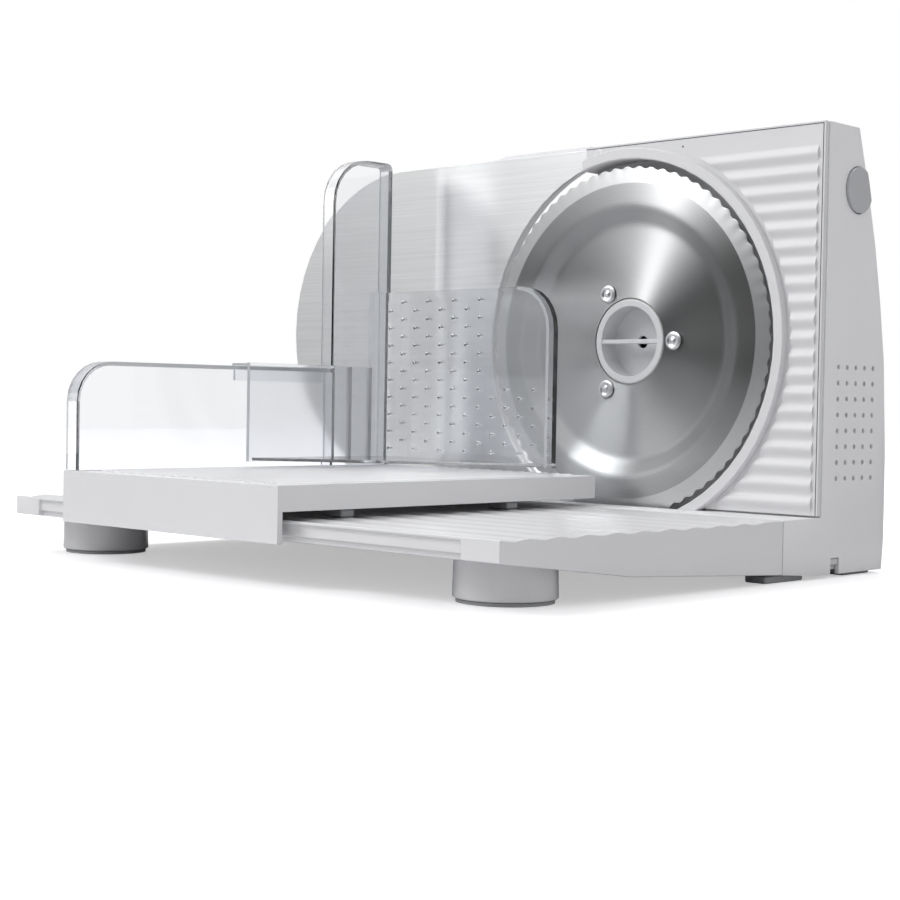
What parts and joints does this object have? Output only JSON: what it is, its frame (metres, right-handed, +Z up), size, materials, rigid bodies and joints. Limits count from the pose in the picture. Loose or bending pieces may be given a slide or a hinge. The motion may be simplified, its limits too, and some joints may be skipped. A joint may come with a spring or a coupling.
{
  "type": "electric food slicer",
  "caption": "White electric food slicer with a dished round blade, ribbed cover, brushed stop plate, sliding carriage, clear thumb guard and clear remnant holder.",
  "frame": {"origin": "middle of the whole object's width and depth, on the surface it stands on", "axes": "+Z up, +X to the user's right along the housing, +Y from the user to the back, along the blade's spindle"},
  "size_m": [0.4046, 0.3058, 0.2295],
  "materials": {
    "white_plastic": "semi-gloss moulded",
    "grey_plastic": "satin moulded",
    "black_plastic": "moulded",
    "clear_plastic": "clear, see-through",
    "steel": "turned and brushed",
    "brushed_sheet": "brushed along its length",
    "black_rubber": "matt",
    "brass": "turned"
  },
  "bodies": {
    "housing": {"rear_cover": "white_plastic", "housing_frame": "grey_plastic", "floor_plate": "grey_plastic", "rubber_foot_1": "black_rubber", "rubber_foot_2": "black_rubber", "rubber_foot_3": "black_rubber", "rubber_foot_4": "black_rubber", "cord_gland": "grey_plastic", "cover_screw_1": "steel", "cover_screw_2": "steel", "cover_screw_3": "steel", "cover_screw_4": "steel", "ribbed_cover": "white_plastic", "switch_body": "black_plastic", "spindle_bush": "black_plastic", "motor_can": "steel", "motor_bracket": "steel", "worm_bearing": "steel", "base_table": "white_plastic", "front_leg_left": "white_plastic", "front_leg_right": "white_plastic", "leg_pad_left": "black_rubber", "leg_pad_right": "black_rubber", "guide_bush_left": "brass", "guide_bush_right": "brass", "guide_block": "white_plastic"},
    "blade": {"blade": "steel", "blade_gear": "grey_plastic", "blade_rivet_1": "steel", "blade_rivet_2": "steel", "blade_rivet_3": "steel"},
    "lock": {"lock_knob": "grey_plastic"},
    "pinion": {"drive_pinion": "steel", "worm_wheel": "white_plastic"},
    "rotor": {"worm_shaft": "steel"},
    "button": {"power_button": "grey_plastic"},
    "carriage": {"carriage": "white_plastic", "glide_pad_1": "white_plastic", "glide_pad_2": "white_plastic", "glide_pad_3": "white_plastic", "glide_pad_4": "white_plastic", "thumb_guard": "clear_plastic"},
    "holder": {"remnant_holder": "clear_plastic"},
    "stop": {"stop_plate": "brushed_sheet", "stop_carrier": "white_plastic", "guide_rod_left": "steel", "guide_rod_right": "steel"},
    "dial": {"thickness_dial": "grey_plastic"}
  },
  "joints": [
    {"name": "blade_spin", "type": "hinge", "parent": "housing", "child": "blade", "pos_m": [0.07625, 0.0886, 0.12], "axis": [0, 1, 0], "continuous": true},
    {"name": "pinion_spin", "type": "hinge", "parent": "housing", "child": "pinion", "pos_m": [0.12465, 0.0886, 0.12], "axis": [0, 1, 0], "continuous": true},
    {"name": "rotor_spin", "type": "hinge", "parent": "housing", "child": "rotor", "pos_m": [0.12465, 0.1266, 0.0996], "axis": [1, 0, 0], "continuous": true},
    {"name": "lock_turn", "type": "hinge", "parent": "housing", "child": "lock", "pos_m": [0.07625, 0.0886, 0.12], "axis": [0, 1, 0], "range_deg": [0, 90]},
    {"name": "button_slide", "type": "slide", "parent": "housing", "child": "button", "axis": [-1, 0, 0], "range_m": [0, 0.003], "stiffness_N_per_m": 600, "springref_m": -0.001},
    {"name": "carriage_slide", "type": "slide", "parent": "housing", "child": "carriage", "axis": [1, 0, 0], "range_m": [-0.05, 0.12]},
    {"name": "holder_slide", "type": "slide", "parent": "carriage", "child": "holder", "axis": [0, 1, 0], "range_m": [-0.095, 0]},
    {"name": "stop_slide", "type": "slide", "parent": "housing", "child": "stop", "axis": [0, 1, 0], "range_m": [-0.004, 0.011]},
    {"name": "dial_turn", "type": "hinge", "parent": "housing", "child": "dial", "pos_m": [-0.10975, 0.1406, 0.056], "axis": [0, 1, 0], "range_deg": [-82, 222]}
  ],
  "couplings": [
    {"joint": "pinion_spin", "follows": "blade_spin", "ratio": -4},
    {"joint": "rotor_spin", "follows": "blade_spin", "ratio": -120},
    {"joint": "dial_turn", "follows": "stop_slide", "rad_per_m": 345}
  ]
}
